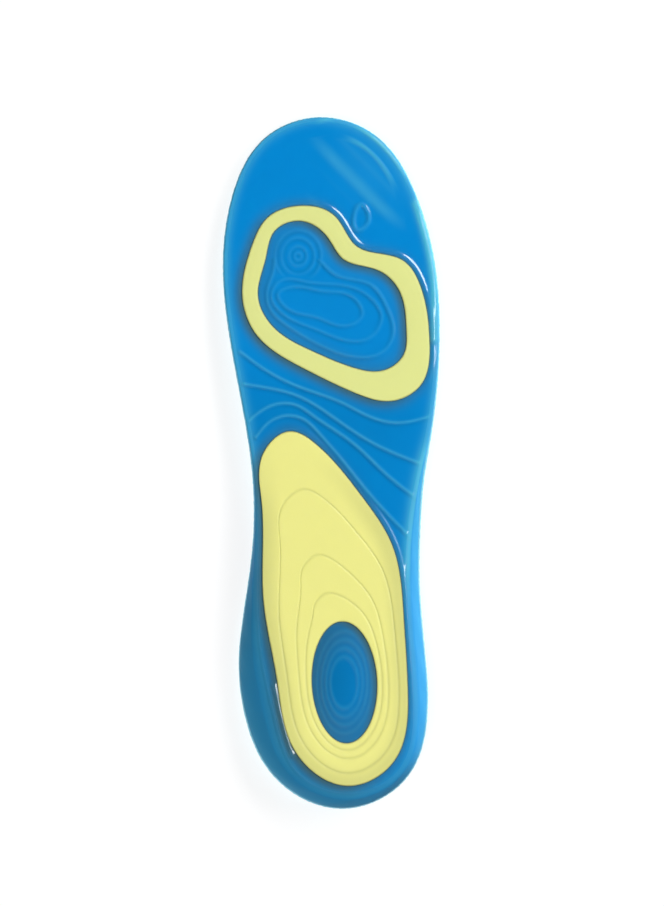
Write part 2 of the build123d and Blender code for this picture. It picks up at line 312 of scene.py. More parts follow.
@dataclass
class Footprint:
    """The outline as four sides of a grid, and surfaces over it.

    A grid's rows run across the insole and its columns along it. Its four corners lie on the outline
    beside the toe and beside the heel, so the two short sides are the toe's and the heel's arcs.
    """

    across: int = 150
    along: int = 480
    toe_inner: float = 1.0
    heel_inner: float = 11.0
    heel_outer: float = 13.0
    toe_outer: float = 22.0
    places: Array = field(init=False)

    def __post_init__(self) -> None:
        """Spaces the border points evenly along each of the four sides."""
        self.rim = SmoothCurve(OUTLINE[:, :2])
        self.sole = SmoothCurve(OUTLINE[:, 2:])
        last = len(OUTLINE)
        sides = (
            self.rim.places(self.heel_outer, self.heel_inner, self.across),
            self.rim.places(self.heel_inner, self.toe_inner, self.along),
            self.rim.places(self.toe_inner, self.toe_outer - last, self.across),
            self.rim.places(self.toe_outer, self.heel_outer, self.along),
        )
        self.places = np.concatenate([side[:-1] for side in sides]) % last

    def border(self, share: Array | float, grow: Array | float = 0.0) -> Array:
        """Border points, seen from above against the clock from the heel's outer corner.

        Args:
            share: 0 on the sole's outline to 1 on the rim's, one number or one per border point.
            grow: how far outwards the points are then moved.

        Returns:
            The points, (number of border points, 2).
        """
        low, high = self.sole.at(self.places), self.rim.at(self.places)
        points = low + (high - low) * np.broadcast_to(share, len(low))[:, None]
        way = np.roll(points, -1, axis=0) - np.roll(points, 1, axis=0)
        way /= np.linalg.norm(way, axis=1)[:, None]
        out = np.stack((way[:, 1], -way[:, 0]), axis=1)
        return points + out * np.broadcast_to(grow, len(low))[:, None]

    def patch(self, border: Array) -> Array:
        """Points inside a border, by blending its four sides.

        Each inner point is the blend of the two long sides plus that of the two short sides, less the
        blend of the four corners.

        Args:
            border: border points in the order that border() gives them.

        Returns:
            The grid, (along + 1, across + 1, 2).
        """
        a, n = self.across, self.along
        heel = border[: a + 1]
        inner = border[a : a + n + 1]
        toe = border[a + n : 2 * a + n + 1][::-1]
        outer = np.concatenate((border[2 * a + n :], border[:1]))[::-1]
        u = np.linspace(0, 1, a + 1)[None, :, None]
        v = np.linspace(0, 1, n + 1)[:, None, None]
        sides = (1 - v) * heel[None] + v * toe[None] + (1 - u) * outer[:, None] + u * inner[:, None]
        low = (1 - u) * heel[0] + u * heel[-1]
        high = (1 - u) * toe[0] + u * toe[-1]
        return sides - (1 - v) * low - v * high

    def rim_under(self, below: float, grow: Array | float = 0.0) -> tuple[Array, Array]:
        """Border of a layer whose top lies below the foot side.

        The height sets how far out the wall stands, and that sets the height, so the two are worked
        out in turn a few times.

        Args:
            below: how far under the foot side.
            grow: how far outwards the border is moved.

        Returns:
            The border points and their heights.
        """
        share: Array | float = 1.0
        for _ in range(4):
            height = foot_height(self.border(share)) - below
            share = wall_share(height)
        return self.border(share, grow), height


def border_order(rows: int, columns: int) -> Array:
    """Numbers of a grid's border points, in the order of Footprint.border()."""
    heel = np.arange(columns)
    inner = np.arange(1, rows) * columns + columns - 1
    toe = (rows - 1) * columns + np.arange(columns - 2, -1, -1)
    outer = np.arange(rows - 2, 0, -1) * columns
    return np.concatenate((heel, inner, toe, outer))


def grid_quads(rows: int, columns: int, start: int = 0, up: bool = True) -> Array:
    """Quads of a grid of points numbered row by row.

    Args:
        rows: rows of points.
        columns: points in a row.
        start: number of the first point.
        up: whether the faces point up for rows along +Y and columns along +X.

    Returns:
        The quads, (n, 4).
    """
    numbers = start + np.arange(rows * columns).reshape(rows, columns)
    a, b, c, d = numbers[:-1, :-1], numbers[:-1, 1:], numbers[1:, 1:], numbers[1:, :-1]
    order = (a, b, c, d) if up else (a, d, c, b)
    return np.stack([corner.ravel() for corner in order], axis=1)


def closed_shell(low: Array, wall: Array, high: Array) -> tuple[Array, Array]:
    """A closed skin of an under side, a wall and an upper side.

    Args:
        low: under side, (rows, columns, 3).
        wall: rows of border points between the two, from low to high, (k, border points, 3).
        high: upper side, of the same size as low.

    Returns:
        Vertices and quads.
    """
    rows, columns = low.shape[:2]
    size = rows * columns
    around = border_order(rows, columns)
    vertices = np.concatenate((low.reshape(-1, 3), high.reshape(-1, 3), wall.reshape(-1, 3)))
    rings = [around, *(2 * size + i * len(around) + np.arange(len(around)) for i in range(len(wall)))]
    rings.append(size + around)
    quads = [grid_quads(rows, columns, 0, up=False), grid_quads(rows, columns, size)]
    for below, above in zip(rings, rings[1:]):
        quads.append(np.stack((below, np.roll(below, -1), np.roll(above, -1), above), axis=1))
    return vertices, np.concatenate(quads)


def closed_band(section: Array) -> tuple[Array, Array]:
    """A skin carried round a loop.

    Args:
        section: points of the cross section at each place of the loop, (places, section points, 3),
            closed both ways.

    Returns:
        Vertices and quads.
    """
    count, width = section.shape[:2]
    numbers = np.arange(count * width).reshape(count, width)
    a, b = numbers, np.roll(numbers, -1, axis=1)
    c, d = np.roll(b, -1, axis=0), np.roll(numbers, -1, axis=0)
    return section.reshape(-1, 3), np.stack([q.ravel() for q in (a, b, c, d)], axis=1)


def make_piece(
    name: str, vertices: Array, quads: Array, floats: dict[str, Array] | None = None
) -> bpy.types.Object:
    """Puts a worked-out surface into a smooth-shaded mesh object.

    Args:
        name: the piece's name.
        vertices: points in millimetres, (n, 3).
        quads: corner numbers, (m, 4).
        floats: values per point that the finish reads, by name.

    Returns:
        The object, linked to the scene.
    """
    mesh = bpy.data.meshes.new(name)
    mesh.vertices.add(len(vertices))
    mesh.vertices.foreach_set("co", (vertices * MM).astype(np.float32).ravel())
    mesh.loops.add(quads.size)
    mesh.loops.foreach_set("vertex_index", quads.astype(np.int32).ravel())
    mesh.polygons.add(len(quads))
    mesh.polygons.foreach_set("loop_start", np.arange(0, quads.size, 4, dtype=np.int32))
    mesh.polygons.foreach_set("use_smooth", np.ones(len(quads), bool))
    mesh.update(calc_edges=True)
    for label, values in (floats or {}).items():
        attribute = mesh.attributes.new(label, "FLOAT", "POINT")
        attribute.data.foreach_set("value", values.astype(np.float32))
    piece = bpy.data.objects.new(name, mesh)
    bpy.context.scene.collection.objects.link(piece)
    LOG.info("%s: %d points, %d quads", name, len(vertices), len(quads))
    return piece


# ---- finishes ----
@dataclass(frozen=True)
class Term:
    """A value in a material that can be used in plain arithmetic."""

    nodes: "NodeBench"
    socket: bpy.types.NodeSocket

    def _math(self, operation: str, first: object, second: object) -> "Term":
        """One Math node on two values."""
        made = self.nodes.add("ShaderNodeMath", {"operation": operation}, {0: first, 1: second})
        return Term(self.nodes, made.outputs[0])

    def __add__(self, other: object) -> "Term":
        """self + other"""
        return self._math("ADD", self, other)

    __radd__ = __add__

    def __sub__(self, other: object) -> "Term":
        """self - other"""
        return self._math("SUBTRACT", self, other)

    def __rsub__(self, other: object) -> "Term":
        """other - self"""
        return self._math("SUBTRACT", other, self)

    def __mul__(self, other: object) -> "Term":
        """self * other"""
        return self._math("MULTIPLY", self, other)

    __rmul__ = __mul__


class NodeBench:
    """Builds one material's nodes."""

    def __init__(self, name: str) -> None:
        """Starts an empty material with an output and one surface shader."""
        self.material = bpy.data.materials.new(name)
        self.material.use_nodes = True
        self.tree = self.material.node_tree
        self.tree.nodes.clear()
        self.output = self.add("ShaderNodeOutputMaterial", {}, {})

    def add(self, kind: str, settings: dict[str, object], inputs: dict[int | str, object]) -> bpy.types.Node:
        """Adds a node.

        Args:
            kind: the node's type.
            settings: its own settings.
            inputs: values, Terms or output sockets, by input name or number.

        Returns:
            The node.
        """
        made = self.tree.nodes.new(kind)
        for key, value in settings.items():
            setattr(made, key, value)
        for key, value in inputs.items():
            source = value.socket if isinstance(value, Term) else value
            if isinstance(source, bpy.types.NodeSocket):
                self.tree.links.new(source, made.inputs[key])
            else:
                made.inputs[key].default_value = source
        return made

    def term(self, node: bpy.types.Node, output: int | str = 0) -> Term:
        """A node's output as a Term."""
        return Term(self, node.outputs[output])

    def place(self) -> bpy.types.NodeSocket:
        """Object coordinates, in metres."""
        return self.add("ShaderNodeTexCoord", {}, {}).outputs["Object"]

    def noise(
        self, scale: float, detail: float = 2.0, roughness: float = 0.5, stretch: Sequence[float] = (1, 1, 1)
    ) -> Term:
        """Noise from 0 to 1 on Object coordinates.

        Args:
            scale: spots per metre.
            detail: how many finer layers.
            roughness: weight of the finer layers.
            stretch: factors on the three coordinates.

        Returns:
            The noise.
        """
        place = self.add("ShaderNodeMapping", {}, {"Vector": self.place(), "Scale": stretch})
        inputs = {"Vector": place.outputs[0], "Scale": scale, "Detail": detail, "Roughness": roughness}
        return self.term(self.add("ShaderNodeTexNoise", {}, inputs), "Fac")

    def value(self, name: str) -> Term:
        """A piece's own value per point."""
        return self.term(self.add("ShaderNodeAttribute", {"attribute_name": name}, {}), "Fac")

    def blend(self, share: Term | float, first: object, second: object) -> bpy.types.NodeSocket:
        """Colour between two others, first at share 0."""
        made = self.add("ShaderNodeMix", {"data_type": "RGBA"}, {0: share, 6: first, 7: second})
        return made.outputs[2]

    def bump(self, height: Term, strength: float, distance: float) -> bpy.types.NodeSocket:
        """Normal of a bumpy surface; distance is the height of a full step, in metres."""
        inputs = {"Height": height, "Strength": strength, "Distance": distance}
        return self.add("ShaderNodeBump", {}, inputs).outputs[0]

    def surface(self, inputs: dict[int | str, object]) -> bpy.types.Material:
        """Ends the material in one Principled surface."""
        shader = self.add("ShaderNodeBsdfPrincipled", {}, inputs)
        self.tree.links.new(shader.outputs[0], self.output.inputs[0])
        return self.material


def rgba(colour: Sequence[float]) -> tuple[float, float, float, float]:
    """A colour with full alpha."""
    return (colour[0], colour[1], colour[2], 1.0)


@dataclass(frozen=True)
class GelFinish:
    """Clear blue gel: deeper where it is thicker, paler and greener where it thins out, with painted shade,
    shadow and highlights.
    """

    body: tuple[float, float, float] = (0.001, 0.265, 0.690)
    # colour of thicker gel, also laid on as painted shade
    thick_and_shade: tuple[float, float, float] = (0.001, 0.125, 0.290)
    # colour of gel that thins out, also laid on as painted highlight
    pale: tuple[float, float, float] = (0.080, 0.500, 0.700)
    # colour of the joint line round the pads, also laid on as painted shadow beside them
    seam_and_shadow: tuple[float, float, float] = (0.060, 0.125, 0.125)
    roughness: float = 0.20
    satin: float = 0.55
    coat: float = 1.0

    def material(self) -> bpy.types.Material:
        """Makes the material; it reads the piece's values for paler gel with painted highlight, the joint
        line with painted shadow, deeper gel with painted shade, and gloss.
        """
        bench = NodeBench("blue_gel")
        cloud = bench.noise(38.0, 3.0, 0.55)
        body = bench.blend(bench.value("deep_and_shade") + 0.16 * (cloud - 0.4), rgba(self.body), rgba(self.thick_and_shade))
        tint = bench.blend(bench.value("thin_and_highlight") * (0.7 + 0.5 * cloud), body, rgba(self.pale))
        colour = bench.blend(bench.value("seam_and_shadow"), tint, rgba(self.seam_and_shadow))
        gloss = bench.value("gloss")
        shine = self.satin - (self.satin - self.roughness) * gloss + 0.10 * (bench.noise(160.0, 2.0) - 0.5)
        skin = bench.bump(bench.noise(140.0, 2.0, 0.5), 0.12, 0.0008)
        return bench.surface({
            "Base Color": colour,
            "Roughness": shine,
            "Normal": skin,
            "Coat Weight": self.coat * gloss,
            "Coat Roughness": 0.05,
            "IOR": 1.40,
            "Subsurface Weight": 0.15,
            "Subsurface Radius": (0.4, 0.8, 1.0),
            "Subsurface Scale": 0.003,
        })


@dataclass(frozen=True)
class PadFinish:
    """Pale yellow firmer gel with a matte skin, darkened towards its shade colour as painted shade."""

    name: str
    light: tuple[float, float, float] = (0.880, 0.860, 0.270)
    shade: tuple[float, float, float] = (0.560, 0.560, 0.185)

    def material(self) -> bpy.types.Material:
        """Makes the material; it reads the piece's crease value, which holds painted shade in the creases, at
        the edges and on the sides.
        """
        bench = NodeBench(self.name)
        cloud = bench.noise(60.0, 4.0, 0.6)
        speck = bench.noise(1400.0, 2.0, 0.6)
        colour = bench.blend(0.14 * cloud + 0.8 * bench.value("crease"), rgba(self.light), rgba(self.shade))
        skin = bench.bump(speck + 0.6 * cloud, 0.25, 0.00012)
        return bench.surface({
            "Base Color": colour,
            "Roughness": 0.46 + 0.12 * cloud,
            "Normal": skin,
            "Coat Weight": 0.12,
            "Coat Roughness": 0.35,
            "Subsurface Weight": 0.10,
            "Subsurface Radius": (1.0, 0.9, 0.4),
            "Subsurface Scale": 0.002,
        })


@dataclass(frozen=True)
class FabricFinish:
    """Brushed light blue knit: a soft pile with faint rows, lighter where the pile lies over."""

    body: tuple[float, float, float] = (0.140, 0.660, 0.900)
    tip: tuple[float, float, float] = (0.290, 0.820, 0.970)
    root: tuple[float, float, float] = (0.075, 0.460, 0.730)

    def material(self) -> bpy.types.Material:
        """Makes the material; it reads the piece's value for how much lighter its edges are."""
        bench = NodeBench("brushed_fabric")
        pile = bench.noise(2600.0, 3.0, 0.7)
        tufts = bench.noise(850.0, 3.0, 0.65, (1.0, 0.6, 1.0))
        lie = bench.noise(60.0, 5.0, 0.65)
        nap = bench.blend(0.50 + 0.8 * (lie - 0.5) + 1.3 * (tufts - 0.5), rgba(self.body), rgba(self.tip))
        darkening = 1.5 * (0.60 - pile) + 1.1 * (0.46 - tufts)
        colour = bench.blend(darkening, nap, rgba(self.root))
        edge = bench.blend(bench.value("edge_lightening") * (0.5 + pile), colour, rgba(self.tip))
        skin = bench.bump(pile + 1.0 * tufts, 0.55, 0.0005)
        return bench.surface({
            "Base Color": edge,
            "Roughness": 0.95,
            "Normal": skin,
            "Sheen Weight": 0.35,
            "Sheen Roughness": 0.5,
            "Sheen Tint": rgba((0.75, 0.93, 1.0)),
            "Specular IOR Level": 0.15,
        })


@dataclass(frozen=True)
class FilmFinish:
    """Thin milky adhesive film."""

    milk: tuple[float, float, float] = (0.55, 0.78, 0.88)
    clear: tuple[float, float, float] = (0.25, 0.60, 0.80)

    def material(self) -> bpy.types.Material:
        """Makes the material."""
        bench = NodeBench("bonding_film")
        cloud = bench.noise(500.0, 3.0, 0.6)
        return bench.surface({
            "Base Color": bench.blend(cloud, rgba(self.milk), rgba(self.clear)),
            "Roughness": 0.35 + 0.2 * cloud,
            "Normal": bench.bump(cloud, 0.2, 0.0001),
        })


@dataclass(frozen=True)
class StageFinish:
    """Plain pale paper that shows from its front only."""

    name: str
    colour: tuple[float, float, float] = (0.30, 0.30, 0.30)
    glow: float = 0.0

    def material(self) -> bpy.types.Material:
        """Makes the material: the paper on the front of the face, nothing on its back."""
        bench = NodeBench(self.name)
        grain = bench.noise(300.0, 2.0)
        paper = bench.add("ShaderNodeBsdfPrincipled", {}, {
            "Base Color": rgba(self.colour),
            "Roughness": 0.85 + 0.1 * grain,
            "Specular IOR Level": 0.1,
            "Emission Color": rgba((1.0, 1.0, 1.0)),
            "Emission Strength": self.glow,
        })
        back = bench.add("ShaderNodeNewGeometry", {}, {}).outputs["Backfacing"]
        clear = bench.add("ShaderNodeBsdfTransparent", {}, {})
        both = bench.add("ShaderNodeMixShader", {}, {0: back, 1: paper.outputs[0], 2: clear.outputs[0]})
        bench.tree.links.new(both.outputs[0], bench.output.inputs[0])
        return bench.material


# ---- pieces ----
class Body(Enum):
    """The two rigid halves of the frame."""

    FRONT = "front_half"
    REAR = "rear_half"


def bend_at_flex_line(piece: bpy.types.Object) -> None:
    """Bakes a piece's placement into its mesh.

    Args:
        piece: the piece, with its mesh finished.
    """
    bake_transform(piece)


@dataclass
class GelBase:
    """The blue gel moulding: sole with its ripples, ribs and pockets, bowl-shaped wall, smooth top."""

    footprint: Footprint
    lip: float = 0.64
    rib: float = 0.34
    bead: float = 0.34
    island: float = 0.28
    pocket: float = 1.3
    swell: float = 0.05

    def relief(self, xy: Array) -> tuple[Array, Array, Array, Array]:
        """Height of the under side, and where it is paler (partly painted highlight), darker (partly painted
        shadow and shade) or lies against a pad.

        The sole is level; ridges, lips and islands stand down from it as bell curves of the distance
        from their lines, and the pockets go up into it under the pads.

        Args:
            xy: points, (n, 2).

        Returns:
            Heights, and the values for paler gel, joint line and deeper gel, partly painted highlight, shadow
            and shade.
        """
        x, y = xy[:, 0], xy[:, 1]
        rear = ramp(-y, -30.0, 60.0)
        edge = distance_to(xy, self.footprint.sole.sampled())
        ring_out, ring_in = SmoothCurve(RING_OUTSIDE).sampled(), SmoothCurve(RING_INSIDE).sampled()
        support_out = SmoothCurve(SUPPORT_OUTSIDE).sampled()
        window = oval(WINDOW_MIDDLE, WINDOW_HALF, WINDOW_LEAN)
        within, in_window = inside(xy, ring_in), inside(xy, window)
        in_ring = inside(xy, ring_out) & ~within
        in_support = inside(xy, support_out) & ~in_window
        free = ~(in_ring | in_support)
        sides = [nearest(xy, line) for line in (ring_out, ring_in, support_out, window)]
        away = np.min([distance for distance, _ in sides], axis=0)
        # painted shadow: the gel darkens beside every pad edge, most on the side away from TO_LIGHT
        shadow, lip = np.zeros(len(xy)), np.zeros(len(xy))
        for (distance, way), weight in zip(sides, (1.0, 0.0, 0.8, 0.0)):
            lit = way @ TO_LIGHT
            shadow = np.maximum(shadow, (0.35 + 0.65 * np.clip(-lit, 0, 1)) * ridge(distance, 2.9))
            lip = np.maximum(lip, weight * (0.10 + 0.90 * np.clip(lit, 0, 1)) * ridge(distance - 1.5, 0.9))

        ball = ramp(y, 40.0, 52.0) * ramp(-y, -112.0, -98.0) * ramp(-x, 20.0, 30.0)
        down = -(0.25 + 0.75 * rear + 0.45 * ball) * (1 - np.clip(edge / (2.0 + 1.5 * ball), 0, 1)) ** 2
        sole = ramp(edge, 0.3, 2.2)
        # raised lines get painted highlight (paler gel) on them, and painted shade on their side away from
        # TO_LIGHT
        lines, painted_line_highlight, painted_line_shade = np.zeros(len(xy)), np.zeros(len(xy)), np.zeros(len(xy))
        for points, height, width, shine in self.lines():
            distance, way = nearest(xy, points)
            far = ridge(distance, width)
            lines, painted_line_highlight = np.maximum(lines, height * far), np.maximum(painted_line_highlight, shine * far)
            painted_line_shade = np.maximum(painted_line_shade, np.clip(-(way @ TO_LIGHT), 0, 1) * ridge(distance - 1.1, 0.7))
        eye = np.hypot(x - EYE_MIDDLE[0], (y - EYE_MIDDLE[1]) / 1.12)
        by_eye = within * ramp(y, 73.0, 79.0)
        for radius in EYE_RADII:
            far = ridge(eye - radius, 0.5) * by_eye
            lines, painted_line_highlight = np.maximum(lines, 0.7 * self.bead * far), np.maximum(painted_line_highlight, 0.14 * far)
            # painted shade just inside each eye ring
            painted_line_shade = np.maximum(painted_line_shade, 0.6 * ridge(eye - radius + 1.0, 0.6) * by_eye)
        out = np.hypot(*((xy - WINDOW_MIDDLE) / WINDOW_HALF).T)
        for share in (0.42, 0.56, 0.70, 0.84):
            far = ridge((out - share) * WINDOW_HALF[0], 0.5) * in_window
            lines, painted_line_highlight = np.maximum(lines, 0.7 * self.bead * far), np.maximum(painted_line_highlight, 0.14 * far)
        # painted highlight: paler gel on a low ridge along the ball's outer edge
        painted_glint = ridge(distance_to(xy, SmoothCurve(BALL_GLINT, closed=False).sampled()), 1.5)
        down += 0.5 * painted_glint + lines * sole + self.lip * lip * free - 0.22 * ridge(away, 0.45) * free
        down += self.island * (within * ramp(sides[1][0], 1.0, 7.0) + in_window * ramp(sides[3][0], 1.0, 7.0))
        wave = np.sin(x / 5.3 + 1.3 * np.sin(y / 9.1)) * np.sin(y / 6.7 + 0.8)
        down += self.swell * (wave + 0.7 * np.sin(y / 14.0 + x / 11.0)) * free
        # painted glare: paler streaks with low ridges across the toe
        toe = ramp(y, 92.0, 104.0) * ramp(-x, -12.0, 2.0) * ramp(-edge, -17.0, -10.0)
        along = y - x
        painted_glare = np.clip(np.sin(1.05 * edge + 1.3 * np.sin(0.19 * along)), 0, 1) ** 2
        painted_glare *= toe * (0.5 + 0.5 * np.sin(0.47 * along + 1.7 * np.sin(0.8 * edge))) ** 2
        down += 0.26 * painted_glare
        height = SOLE - np.clip(down, -1.1, SOLE - 0.12)
        height = np.where(free, height, SOLE + self.pocket * ramp(away, 0.2, 1.0))
        arch = ramp(-x, 18.0, 26.0) * ramp(-y, -14.0, 0.0) * ramp(y, -62.0, -40.0)
        # paler where the gel thins out at its edge; the outer arch edge is paler still as painted light
        pale = 0.55 * ridge(edge, 2.4) * (1 - 0.4 * rear) + 0.45 * arch * ridge(edge, 3.0)
        pale += 0.80 * painted_glint + painted_line_highlight * sole + 0.60 * painted_glare
        # painted sheen: a paler corner of the toe
        pale += 0.10 * ramp(y, 95.0, 125.0) * ramp(-x, -5.0, 20.0)
        grey = 0.22 * within * ridge(sides[1][0], 5.0) + 0.30 * in_window * ramp(out, 0.3, 0.9)
        # a darker joint line round the pads, painted shadow beside them, and a grey tint near the islands'
        # edges
        seam_and_shadow = np.maximum(np.maximum(0.9 * ridge(away, 0.5), 0.9 * shadow), grey)
        # deeper for thicker gel and the heel island, plus painted shade beside lines and at the heel's inner
        # side
        deep_and_shade = self.darkening(xy) + 0.35 * painted_line_shade + 0.14 * in_window
        values = (np.where(free, seam_and_shadow, 1.0), deep_and_shade)
        return height, np.clip(pale, 0, 1), *(np.clip(value, 0, 1) for value in values)

    @staticmethod
    def darkening(xy: Array) -> Array:
        """How much darker the gel looks: partly thicker gel, partly painted shade, most at the heel's inner
        side.
        """
        x, y = xy[:, 0], xy[:, 1]
        heel = ramp(-y, 25.0, 70.0) * ramp(x, -22.0, 18.0) + 0.7 * ramp(-y, 112.0, 134.0)
        return 0.25 * ramp(-y, -55.0, -15.0) * ramp(y + 4 * x, -260.0, 0.0) + 0.50 * np.clip(heel, 0, 1)

    def lines(self) -> list[tuple[Array, float, float, float]]:
        """Raised lines of the sole: their points, height, width and how much painted highlight (paler gel)
        they get.
        """
        found = [(SmoothCurve(rib, closed=False).sampled(), self.rib, 0.5, 0.42) for rib in WAIST_RIBS]
        found += [(SmoothCurve(loop).sampled(), 0.8 * self.bead, 0.5, 0.16) for loop in BALL_LOOPS]
        found.append((SmoothCurve(BALL_EDGE, closed=False).sampled(), self.bead, 0.5, 0.20))
        found.append((SmoothCurve(TOE_DROP).sampled(), 0.45, 0.75, 0.22))
        found.append((SmoothCurve(EDGE_SHINE, closed=False).sampled(), 0.45, 0.9, 0.15))
        return found

    def build(self) -> bpy.types.Object:
        """Makes the whole moulding as one closed skin."""
        plan = self.footprint
        low_xy = plan.patch(plan.border(0.0))
        flat = low_xy.reshape(-1, 2)
        height, thin_and_highlight, seam_and_shadow, deep_and_shade = self.relief(flat)
        low = np.concatenate((flat, height[:, None]), axis=1).reshape(*low_xy.shape[:2], 3)
        border, rim = plan.rim_under(COVER + FILM, -0.15)
        high_xy = plan.patch(border)
        high = np.concatenate((high_xy, (foot_height(high_xy) - COVER - FILM)[..., None]), axis=2)
        around = border_order(*low.shape[:2])
        foot = height[around]
        steps = np.array((0.06, 0.14, 0.24, 0.36, 0.5, 0.64, 0.78, 0.9, 0.97))
        wall = []
        for step in steps:
            z = foot + (rim - foot) * step
            ripple = 0.12 * np.sin(plan.places * 9.0 + 5 * step) * math.sin(math.pi * step)
            points = plan.border(wall_share(z), ripple - 0.15 * step)
            wall.append(np.concatenate((points, z[:, None]), axis=1))
        vertices, quads = closed_shell(low, np.array(wall), high)
        pale = np.repeat(0.35 + 0.45 * steps, len(around))
        rear = np.tile(ramp(-flat[around, 1], -30.0, 60.0), len(steps))
        thin_and_highlight_all = np.concatenate((thin_and_highlight, np.full(len(thin_and_highlight), 0.6), pale * (1 - 0.45 * rear)))
        walls = self.darkening(np.array(wall)[..., :2].reshape(-1, 2))
        seam_and_shadow_all = np.concatenate((seam_and_shadow, np.zeros(len(seam_and_shadow) + len(walls))))
        deep_and_shade_all = np.concatenate((deep_and_shade, np.zeros(len(deep_and_shade)), walls))
        sole_gloss = ramp(distance_to(flat, plan.sole.sampled()), 0.2, 2.0)
        gloss = np.concatenate((sole_gloss, np.zeros(len(deep_and_shade) + len(walls))))
        values = {"thin_and_highlight": thin_and_highlight_all, "seam_and_shadow": seam_and_shadow_all, "deep_and_shade": deep_and_shade_all, "gloss": gloss}
        return make_piece("gel_base", vertices, quads, values)

    def dress(self, piece: bpy.types.Object) -> None:
        """Gives the gel its finish, hides the imported gel halves and bakes its placement into its mesh."""
        piece.data.materials.append(GelFinish().material())
        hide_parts("gel_base_front", "gel_base_rear")
        bend_at_flex_line(piece)


@dataclass
class Pad:
    """A yellow pad: a flat band between an inner and an outer loop, with rounded edges and creases."""

    name: str
    body: Body
    thickness: float
    outer: Array
    inner: Array
    finish: PadFinish
    creases: Sequence[float] = ()
    rounding: float = 0.75
    crown: float = 0.10
    side_shade: float = 0.0
    steps: int = 40

    def shares(self) -> Array:
        """Places across the band, closer together at its edges and beside its creases."""
        even = 0.5 - 0.5 * np.cos(np.linspace(0, math.pi, self.steps))
        near = [crease + np.linspace(-0.024, 0.024, 13) for crease in self.creases]
        fine = np.concatenate((even, np.linspace(0.004, 0.03, 5), 1 - np.linspace(0.004, 0.03, 5), *near))
        return np.unique(np.round(np.clip(fine, 0, 1), 4))

    def build(self) -> bpy.types.Object:
        """Makes the band.

        Its under side lies on the floor, rounds up at both edges as a quarter circle of the distance
        from the edge, and rises a little along each crease; its upper side is level in the gel.
        """
        share = self.shares()
        width = np.linalg.norm(self.outer - self.inner, axis=1)[:, None]
        xy = self.inner[:, None] + (self.outer - self.inner)[:, None] * share[None, :, None]
        edge = np.minimum(share, 1 - share)[None] * width
        inset = np.clip(self.rounding - edge, 0, self.rounding)
        rise = self.rounding - np.sqrt(self.rounding**2 - inset**2)
        crease = np.zeros_like(edge)
        for place in self.creases:
            crease += ridge((share[None] - place) * width, 0.55)
        z = rise + 0.26 * crease + self.crown * (1 - ramp(edge, 0.0, 4.0))
        under = np.concatenate((xy, z[..., None]), axis=2)
        top = np.full((len(xy), 1, 1), self.thickness)
        sides = np.concatenate((xy[:, [-1, 0]], np.repeat(top, 2, axis=1)), axis=2)
        section = np.concatenate((under, sides), axis=1)
        vertices, quads = closed_band(section)
        rim = distance_to(xy.reshape(-1, 2), np.concatenate((self.outer, self.outer[:1])), 10.0)
        # painted shade along the pad's outer edge, behind the waist
        side = self.side_shade * (1 - ramp(rim.reshape(edge.shape), 1.0, 9.0))
        side *= ramp(-xy[..., 1], -10.0, 30.0)
        # painted shade: darker along the creases and at the band's edges; the side walls take the full shade
        # colour
        painted_shade = 0.45 * crease + 0.4 * ramp(-edge, -0.7, 0.0) + side
        shade = np.concatenate((painted_shade, np.ones((len(xy), 2))), axis=1)
        return make_piece(self.name, vertices, quads, {"crease": np.clip(shade, 0, 1).ravel()})

    def dress(self, piece: bpy.types.Object, node: str) -> None:
        """Gives the pad its finish and its place in the frame."""
        piece.data.materials.append(self.finish.material())
        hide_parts(node)
        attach(piece, self.body.value)


def ring_loops(count: int = 620) -> tuple[Array, Array]:
    """Outer and inner loop of the forefoot ring, matched point by point."""
    outer = SmoothCurve(RING_OUTSIDE)
    places = outer.places(0.0, len(RING_OUTSIDE), count)[:-1]
    return outer.at(places), SmoothCurve(RING_INSIDE).at(places)


def support_loops(count: int = 760) -> tuple[Array, Array]:
    """Outline of the heel pad and its window, matched along rays from the window's middle."""
    outer = SmoothCurve(SUPPORT_OUTSIDE)
    points = outer.at(outer.places(0.0, len(SUPPORT_OUTSIDE), count)[:-1])
    ray = points - WINDOW_MIDDLE
    c, s = math.cos(-WINDOW_LEAN), math.sin(-WINDOW_LEAN)
    local = np.stack((c * ray[:, 0] - s * ray[:, 1], s * ray[:, 0] + c * ray[:, 1]), axis=1)
    reach = 1 / np.hypot(local[:, 0] / WINDOW_HALF[0], local[:, 1] / WINDOW_HALF[1])
    return points, WINDOW_MIDDLE + ray * reach[:, None]


